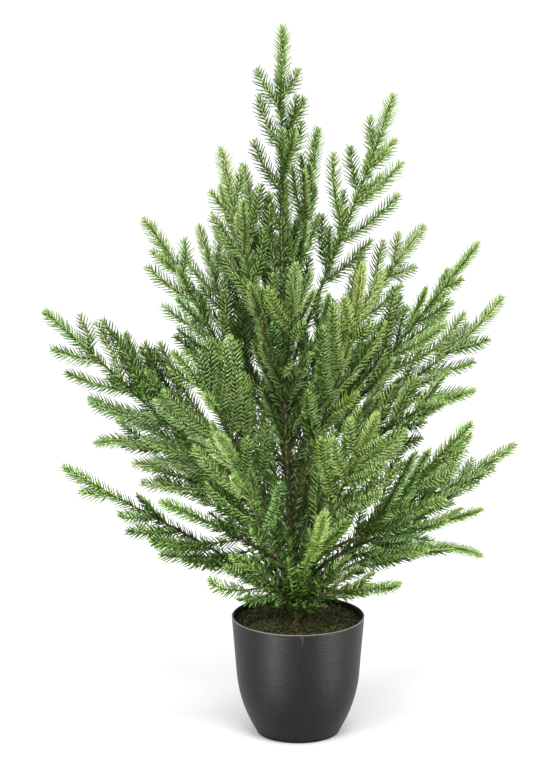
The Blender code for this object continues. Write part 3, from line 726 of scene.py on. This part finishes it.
FINER = {
    "right_1": (150, 0.60, 769, 0.014, (2, 4, 5, 7, 9, 10)),
    "right_2": (150, 0.85, 796, 0.014, (0, 1, 2, 3, 6, 9)),
    "right_3": (0, 1.10, 445, 0.014, (1, 2, 3, 4, 5, 6, 7)),
    "right_4": (90, 1.10, 556, 0.014, (0, 1, 2, 3, 4, 8, 9, 10, 11, 12, 13)),
    "right_5": (120, 0.60, 752, 0.014, (3, 4, 6, 9)),
    "right_6": (30, 0.85, 834, 0.014, (0, 1, 3, 7, 8)),
    "right_7": (90, 1.10, 323, 0.014, (1, 4, 6, 7, 8, 9)),
    "right_8": (0, 1.10, 315, 0.014, (0, 3, 7, 8)),
    "right_9": (30, 1.10, 503, 0.014, (0, 1, 2, 3)),
    "right_10": (90, 1.10, 1007, 0.014, (0, 1, 2)),
    "right_11": (120, 1.10, 418, 0.014, (0, 1, 2, 4)),
    "left_1": (120, 1.10, 509, 0.014, (1, 4, 5, 7, 9)),
    "left_2": (60, 0.85, 620, 0.014, (1, 2, 3, 5, 7, 8)),
    "left_3": (60, 1.10, 519, 0.014, (0, 1, 2, 3, 5, 8, 9, 10)),
    "left_4": (30, 0.85, 654, 0.014, (1, 2, 3, 4, 5, 9, 10)),
    "left_5": (0, 1.10, 84, 0.014, (1, 3, 7, 8)),
    "left_6": (60, 1.10, 979, 0.014, (0, 1, 2, 4, 6, 8)),
    "left_7": (0, 1.10, 1061, 0.014, (0, 1, 2, 6)),
    "left_8": (0, 0.85, 543, 0.014, (0, 2, 3, 5)),
    "left_9": (150, 1.10, 484, 0.014, (0, 2, 3, 4, 5, 7)),
    "left_10": (60, 0.85, 778, 0.014, (0, 2)),
    "left_11": (0, 1.10, 581, 0.014, (0, 2, 4, 5, 6, 7, 9, 10, 11)),
    "front_1": (60, 1.10, 75, 0.014, (6, 8)),
    "front_3": (120, 0.85, 136, 0.022, ()),
    "front_4": (90, 0.85, 92, 0.014, (1, 3)),
    "front_5": (90, 1.10, 87, 0.014, (1,)),
    "back_1": (120, 0.60, 785, 0.014, (0, 2, 4, 6, 7, 8)),
    "back_2": (120, 1.10, 254, 0.014, (0, 1, 4, 5, 6, 7, 8)),
    "back_3": (120, 1.10, 1002, 0.014, (0, 1, 3, 5)),
    "back_4": (30, 0.85, 949, 0.014, (0, 1, 2, 3, 5, 6, 8, 9, 10, 11, 12, 13)),
    "back_5": (60, 1.10, 373, 0.014, (0, 2, 4, 8, 9, 10, 11)),
    "upper_front": (60, 0.60, 941, 0.022, (0, 1)),
    "upper_left": (90, 1.10, 541, 0.014, (0, 1, 4)),
    "upper_right": (90, 1.10, 496, 0.014, (1, 3, 4, 5, 6, 7)),
    "leader": (120, 1.10, 411, 0.014, (1, 2, 4, 6, 7)),
}
LEFT_OUT = {
    "left_9": (4,),
    "front_1": (5,),
    "right_1": (5, 11),
    "front_5": (0, 1),
    "front_4": (1, 2),
    "front_2": (0, 2, 3, 6, 8),
    "right_2": (4,),
    "right_3": (3,),
    "right_5": (0, 5),
    "right_7": (1, 4, 5, 11),
    "right_10": (0, 1),
    "right_11": (0, 3, 6),
    "left_2": (4,),
    "left_3": (9,),
    "left_4": (0, 2, 8),
    "left_5": (3, 9),
    "left_6": (1, 2, 3, 4, 7, 8, 10),
    "left_7": (0, 1, 2, 4, 8),
    "left_8": (1, 2),
    "left_10": (0, 2),
    "left_11": (9,),
    "back_1": (7,),
    "back_3": (3,),
    "back_4": (1,),
    "upper_front": (3,),
    "upper_right": (1, 4, 7),
}
FINER_FIRST = 0.006
dice = random.Random(5)


def without(sprays, left_out):
    """The sprays whose numbers aren't left out."""
    return [spray for number, spray in enumerate(sprays) if number not in left_out]


def grow_tree():
    """Every shoot of the tree: the limbs with their stems, then their twigs."""
    shoots = []
    for bough in (*BOUGHS, LEADER):
        first = LEADER_FIRST_SPRAY if bough is LEADER else FIRST_SPRAY
        line = bough_line(bough)
        stem_end = line.length - STEM_END * first
        thick = BOUGH_THICK if bough.bare else DIRECT_THICK
        if bough is LEADER:
            thick = TRUNK_THIN
        away = direction(bough.azimuth, 0)
        level = direction(bough.azimuth + 90, 0)
        roll = math.radians(bough.roll)
        cut = Line(line.at(np.linspace(0.0, line.length * 0.985, 60)))
        middle = line.tangent(line.length / 2)
        across = math.cos(roll) * level + math.sin(roll) * unit(np.cross(middle, level))
        face = unit(np.cross(middle, across))
        # The bough's light: partly its fresh growth, partly painted light and shade.
        fresh = LIT_AND_FRESH.get(bough.name, BACK_SHADE if bough.name.startswith("back") else 0.0)
        yellow = YELLOW.get(bough.name, max(fresh, 0.0))
        face *= 1 if face @ (UP + away) > 0 else -1
        shoots.append(Shoot("limb", cut, face, thick, TWIG_THIN, 0.006, fresh, yellow))
        sprays = without(sprays_on(bough, line, first), LEFT_OUT.get(bough.name, ()))
        if bough.name in FINER:
            turn, scale, seed, step, left_out = FINER[bough.name]
            finer = bough._replace(roll=bough.roll + turn, size=bough.size * scale, seed=seed)
            sprays += without(sprays_on(finer, line, first + FINER_FIRST, step, flat=True), left_out)
        for spray in sprays:
            u = np.linspace(0.0, TWIG_END, 12)[:, None]
            points = spray.root + spray.length * (u * spray.along + 0.5 * CURL * u * u * spray.bend)
            clear = RIM_CLEAR + RIM_SLOPE * np.linalg.norm(points[-1, :2])
            points[:, 2] += max(0.0, clear - points[-1, 2]) * u[:, 0] ** 2
            outer = (spray.place / line.length) ** 1.5
            light = fresh * outer + dice.uniform(-SPRAY_SPREAD, SPRAY_SPREAD)
            hue = yellow * outer + dice.uniform(-HUE_SPREAD, HUE_SPREAD)
            face = spray.face * (1 if spray.face @ (UP + away) > 0 else -1)
            shoots.append(Shoot("twig", Line(points), face, TWIG_THICK, TWIG_THIN, 0.003, light, hue))
    for number in range(FOOT_SHOOTS):
        azimuth = number * 360 / FOOT_SHOOTS + dice.uniform(-12, 12)
        front = direction(azimuth, 0)[1] < FOOT_FRONT
        way = "steep" if number % 2 else "short" if front else "low"
        pitch, reach, rise = FOOT_WAYS[way]
        along = direction(azimuth, dice.uniform(*pitch))
        u = np.linspace(0.0, 1.0, 12)[:, None]
        start = trunk_axis(dice.uniform(0.116, 0.130))
        points = start + dice.uniform(*reach) * (u * along + rise * u * u * UP)
        face = unit(np.cross(along, direction(azimuth + 90, 0)))
        face *= 1 if face[2] > 0 else -1
        # Foot shoots take low light: painted shade down by the pot.
        shoots.append(Shoot("twig", Line(points), face, TWIG_THICK, TWIG_THIN, 0.004, dice.uniform(-0.6, -0.1), 0.0))
    for number in range(TRUNK_SHOOTS):
        azimuth = number * 137.5 + TRUNK_TURN
        if direction(azimuth, 0)[1] < TRUNK_OPEN:
            continue
        share = (number + 0.5) / TRUNK_SHOOTS
        start = trunk_axis(TRUNK_FIRST + (TRUNK_LAST - TRUNK_FIRST) * share)
        behind = max(0.0, direction(azimuth, 0)[1]) * (1 - share)
        along = direction(azimuth, dice.uniform(48, 68) - BEHIND_LOWER * behind)
        u = np.linspace(0.0, 1.0, 12)[:, None]
        reach = dice.uniform(0.050, 0.076) * (1 + BEHIND_LONGER * behind)
        points = start + reach * (u * along + 0.16 * u * u * UP)
        face = unit(np.cross(along, direction(azimuth + 90, 0)))
        face *= 1 if face @ direction(azimuth, 0) > 0 else -1
        light = dice.uniform(0.0, 0.4)
        hue = dice.uniform(-HUE_SPREAD, HUE_SPREAD)
        shoots.append(Shoot("twig", Line(points), face, TWIG_THICK, TWIG_THIN, 0.004, light, hue))
    return shoots


shoots = grow_tree()
trunk_line = Line(trunk_axis(np.linspace(FILL_CROWN + GAP, TRUNK_TIP, 90)))
trunk = Shoot("trunk", trunk_line, np.array([0.0, -1.0, 0.0]), TRUNK_THICK, TRUNK_THIN, 0.016, -0.2, 0.0)
print(len(shoots), "shoots,", round(sum(s.line.length for s in shoots), 1), "m in all")

# %% [markdown]
# ## Bark and twigs
# The real limbs are wire in a ridged brown sleeve. A tube whose radius swings with the angle and
# the length gives the ridges and small pegs as true relief. The colour turns from brown to green
# towards the tips, by an attribute that says how young the wood is.

# %% Tubes
def tube(line, stations, radii, face, sides, relief=0.0, seed=0):
    """Points (rings, sides, 3) round a line: rings square to it, with ridges and pegs.

    The radius is multiplied by 1 + relief times a sum of waves round and along the limb."""
    centre = line.at(stations)
    tangent = line.tangent(stations)
    out = unit(face - tangent * (tangent @ face)[:, None])
    other = np.cross(tangent, out)
    turn = np.arange(sides) * math.tau / sides
    own = np.random.default_rng(seed)
    waves = np.zeros((len(stations), sides))
    for around, length in ((3, 0.021), (2, 0.009), (5, 0.0052), (4, 0.0031)):
        start = own.uniform(0, math.tau, 2)
        waves += np.sin(around * turn + start[0] + stations[:, None] * math.tau / length)
        waves += 0.6 * np.sin(stations[:, None] * math.tau / length * 1.7 - around * turn + start[1])
    radius = radii[:, None] * (1 + relief * waves / 3)
    spokes = out[:, None] * np.cos(turn)[None, :, None] + other[:, None] * np.sin(turn)[None, :, None]
    return centre[:, None] + radius[..., None] * spokes


class Batch:
    """Collects closed tubes into one mesh."""

    def __init__(self):
        self.points, self.faces, self.tops, self.young = [], [], [], []
        self.size = 0

    def add_tube(self, rings, young):
        count, sides = rings.shape[:2]
        ends = np.stack([rings[0].mean(0), rings[-1].mean(0)])
        self.points += [rings.reshape(-1, 3), ends]
        self.faces.append(ring_grid(count, sides, self.size))
        low = self.size + count * sides
        ring = np.arange(sides) + self.size
        self.tops += [fan(low, ring, flip=True), fan(low + 1, ring + (count - 1) * sides)]
        self.young += [np.repeat(young, sides), young[[0, -1]]]
        self.size = low + 2

    def arrays(self):
        faces = [np.concatenate(self.faces), np.concatenate(self.tops)]
        return np.concatenate(self.points), faces, {"young": np.concatenate(self.young)}


bark_finish = Finish("brown_sleeve", specular=0.35)
young = bark_finish.mark("young")
rub = bark_finish.noise(260.0, 5.0, rough=0.65)
brown = bark_finish.ramp(rub, (0.30, (0.022, 0.014, 0.008)), (0.55, (0.060, 0.038, 0.021)), (0.75, (0.120, 0.082, 0.046)))
olive = bark_finish.ramp(rub, (0.30, (0.060, 0.075, 0.018)), (0.75, (0.150, 0.175, 0.045)))
bark_finish.feed(
    base_color=bark_finish.blend(brown, olive, young),
    roughness=rub * 0.3 + 0.5,
    normal=bark_finish.bump(rub, 0.0004),
)

# %% Trunk
FLARE = 0.0016
FLARE_HEIGHT = 0.012
stations = np.linspace(0.0, trunk.line.length, 300)
radii = TRUNK_THICK - (TRUNK_THICK - TRUNK_THIN) * stations / trunk.line.length
radii += FLARE * np.exp(-stations / FLARE_HEIGHT)
batch = Batch()
batch.add_tube(tube(trunk.line, stations, radii, trunk.face, 20, 0.07, 1), 0.4 * stations / trunk.line.length)
points, faces, marks = batch.arrays()
add_piece("trunk_bark", points, faces, bark_finish, ["trunk"], marks)

# %% Limbs and twigs
limbs = Batch()
twigs = Batch()
for number, shoot in enumerate(shoots):
    length = shoot.line.length
    if shoot.kind == "limb":
        stations = np.linspace(0.001, length, max(int(length / 0.0022), 8))
        share = stations / length
        radii = shoot.thick + (shoot.thin - shoot.thick) * share
        rings = tube(shoot.line, stations, radii, shoot.face, 8, 0.07, number)
        limbs.add_tube(rings, np.clip(1.7 - (length - stations) / TIP_SPRAY, 0.08, 1))
    else:
        stations = np.linspace(0.0, length, max(int(length / 0.006), 4))
        share = stations / length
        radii = shoot.thick + (shoot.thin - shoot.thick) * share
        rings = tube(shoot.line, stations, radii, shoot.face, 6, 0.04, number)
        twigs.add_tube(rings, np.clip(share * 3.0 + 0.4, 0, 1))
points, faces, marks = limbs.arrays()
add_piece("limb_bark", points, faces, bark_finish, BOUGH_NODES + FOLIAGE_NODES, marks)
points, faces, marks = twigs.arrays()
add_piece("twig_stems", points, faces, bark_finish, FOLIAGE_NODES, marks)

# %% [markdown]
# ## Needles
# Each shoot carries rows of soft needles that sweep forward and curve a little towards the tip.
# Most lie to the two sides, some stand above and below. Each needle is a slim three-sided spike
# of sixteen triangles, so tens of thousands of them stay light.

# %% Sites of the needles
NEEDLE_LENGTH = 0.0122
NEEDLE_HALF = 0.00069
Row = namedtuple("Row", "turn size lag step width tone")
# tone is painted light and shade: rows standing above the spray take lighter tints, the side and lower rows darker
# ones.
ROWS = (
    Row(0, 1.00, 0.0, 0.0036, 1.10, -1.10),
    Row(180, 1.00, 0.5, 0.0036, 1.10, -1.10),
    Row(48, 0.84, 0.0, 0.0042, 1.00, 0.14),
    Row(132, 0.84, 0.5, 0.0042, 1.00, 0.14),
    Row(90, 0.66, 0.25, 0.0050, 1.08, 0.34),
    Row(-50, 0.80, 0.5, 0.0052, 1.02, -0.80),
    Row(-130, 0.80, 0.0, 0.0052, 1.02, -0.80),
    Row(-90, 0.60, 0.75, 0.0060, 1.04, -0.40),
)
SWEEP_BASE = 49.0
SWEEP_TIP = 29.0
TIP_REACH = 0.013
TIP_SIZE = 0.56
OPEN_DEPTH = 0.15
OPEN_GAIN = 0.58
TIP_GAIN = 0.14
TIP_FADE = 0.030
INNER_KEEP = 0.5
LIMB_STEP = 0.78
LIMB_LOSS = 0.12
LIMB_LOSS_ABOVE = 0.7
LIMB_SHORT = 0.18
LIMB_TONE = 0.5
seeds = np.random.default_rng(23)


def openness(points):
    """How near the crown's outside points lie: 1 at its edge, falling with the depth below it."""
    edge = CROWN_LOW - (CROWN_LOW - CROWN_TOP) * points[:, 2] / TREE_TIP
    depth = edge - np.linalg.norm((points - trunk_axis(points[:, 2]))[:, :2], axis=1)
    return np.clip(1.0 - depth / OPEN_DEPTH, 0.0, 1.15)


def needle_sites(shoot):
    """Root, heading, forward direction, length, half width and light of each needle."""
    line = shoot.line
    found = []
    limb = shoot.kind == "limb"
    for row in ROWS:
        step = row.step * (LIMB_STEP if limb else 1.0)
        s = np.arange(shoot.begin + step * row.lag, line.length, step)
        s = np.clip(s + seeds.normal(0, 0.00018, len(s)), 0.0, line.length)
        lower = np.clip((line.length - s) / TIP_SPRAY - 0.6, 0.0, 1.0) if limb else 0.0
        loss = LIMB_LOSS if row.tone < 0 else LIMB_LOSS_ABOVE
        s = s[seeds.uniform(0, 1, len(s)) < np.minimum(INNER_KEEP + openness(line.at(s)), 1) * (1 - loss * lower)]
        lower = np.clip((line.length - s) / TIP_SPRAY - 0.6, 0.0, 1.0) if limb else 0.0
        share = s / line.length
        forward = line.tangent(s)
        out = unit(shoot.face - forward * (forward @ shoot.face)[:, None])
        side = np.cross(out, forward)
        around = np.radians(row.turn + seeds.normal(0, 6, len(s)))[:, None]
        radial = np.cos(around) * side + np.sin(around) * out
        near_tip = np.clip((line.length - s) / TIP_REACH, 0.0, 1.0)
        sweep = SWEEP_TIP + (SWEEP_BASE - SWEEP_TIP) * near_tip ** 0.6
        sweep = np.radians(sweep + seeds.normal(0, 3, len(s)))[:, None]
        heading = np.cos(sweep) * forward + np.sin(sweep) * radial
        length = NEEDLE_LENGTH * row.size * (TIP_SIZE + (1 - TIP_SIZE) * near_tip) * (1 - LIMB_SHORT * lower)
        length *= seeds.uniform(0.90, 1.06, len(s))
        thick = (shoot.thick + (shoot.thin - shoot.thick) * share)[:, None]
        half = np.full(len(s), NEEDLE_HALF * row.width)
        light = row.tone * (LIMB_TONE if limb else 1.0) + TIP_GAIN * np.clip(1 - (line.length - s) / TIP_FADE, 0.0, 1.0) + LIMB_SHADE * lower
        found.append((line.at(s) + 0.6 * thick * radial, heading, forward, length, half, light))
    tuft = 8
    around = np.arange(tuft) * 2.4
    forward = np.repeat(line.tangent(line.length)[None], tuft, 0)
    out = unit(shoot.face - forward * (forward @ shoot.face)[:, None])
    radial = np.cos(around)[:, None] * np.cross(out, forward) + np.sin(around)[:, None] * out
    sweep = np.radians(seeds.uniform(4, 24, tuft))[:, None]
    heading = np.cos(sweep) * forward + np.sin(sweep) * radial
    roots = np.repeat(line.at(line.length)[None], tuft, 0)
    length = NEEDLE_LENGTH * seeds.uniform(0.30, 0.42, tuft)
    found.append((roots, heading, forward, length, np.full(tuft, NEEDLE_HALF), np.full(tuft, TIP_GAIN + 0.1)))
    columns = [np.concatenate(column) for column in zip(*found)]
    # Painted light: needles near the outside of the crown take lighter tints, those deep inside darker ones.
    columns[5] += OPEN_GAIN * openness(columns[0]) + shoot.light + seeds.normal(0, 0.26, len(columns[0]))
    return [*columns, np.full(len(columns[0]), shoot.hue)]


sites = [needle_sites(shoot) for shoot in (*shoots, trunk)]
root, heading, forward, length, half_width, light, hue = [np.concatenate(column) for column in zip(*sites)]
print(len(root), "needles")


# %% Needle meshes
RING_PLACES = np.array([0.0, 0.50, 0.95])
RING_WIDTHS = np.array([0.95, 1.0, 0.50])
NEEDLE_CURVE = 0.16
NEEDLE_TRIANGLES = 14


def needle_mesh(pick):
    """The picked needles as strands that bend forward."""
    columns = (root[pick], heading[pick], forward[pick], length[pick], half_width[pick])
    return strands(*columns, NEEDLE_CURVE, RING_PLACES, RING_WIDTHS)


# %% [markdown]
# ## Needle tints
# The tips of the outer sprays are a fresh yellow green, partly their own colour and partly painted
# light, and the heart of the tree is painted almost black green for the shade in it. Each needle
# takes one of six tints by the light that reaches it, and each tint is one piece with a plain base
# colour; the roughness and the fine relief vary over it.

# %% Needle pieces
# Six lit and shaded copies of one green, darkest first: painted light and shade, dealt out by each needle's rank of
# light. The darker tints also shine less.
LEVELS = (
    ("night", 0.17, 0.08, (0.032, 0.074, 0.010)),
    ("shade", 0.35, 0.12, (0.090, 0.181, 0.030)),
    ("deep", 0.53, 0.20, (0.179, 0.318, 0.065)),
    ("leaf", 0.71, 0.28, (0.268, 0.424, 0.112)),
    ("fresh", 0.87, 0.30, (0.344, 0.474, 0.160)),
    ("tip", 1.01, 0.30, (0.418, 0.526, 0.206)),
)
KINDS = (
    ("blue", -0.18, (0.91, 0.97, 1.15)),
    ("green", 0.42, (1.00, 1.00, 1.00)),
    ("yellow", 9.0, (1.06, 1.00, 0.82)),
)
rank = np.argsort(np.argsort(light)) / len(light)
level = np.digitize(rank, [upto for _, upto, _, _ in LEVELS])
kind = np.digitize(hue, [upto for _, upto, _ in KINDS])
for k, (kind_name, _, factor) in enumerate(KINDS):
    for n, (level_name, _, shine, colour) in enumerate(LEVELS):
        finish = Finish(f"needle_{kind_name}_{level_name}", specular=shine)
        tint = [c * f for c, f in zip(colour, factor)]
        finish.shader.inputs["Base Color"].default_value = (*tint, 1.0)
        mottle = finish.noise(420.0, 2.0)
        finish.feed(roughness=mottle * 0.25 + 0.38, normal=finish.bump(mottle, 0.0002))
        pick = np.nonzero((level == n) & (kind == k))[0]
        parts = int(np.ceil(len(pick) * NEEDLE_TRIANGLES / 190000))
        for number, part in enumerate(np.array_split(pick, parts)):
            points, faces = needle_mesh(part)
            name = f"needles_{kind_name}_{level_name}"
            name += "" if parts == 1 else f"_{number + 1}"
            add_piece(name, points, faces, finish, FOLIAGE_NODES)
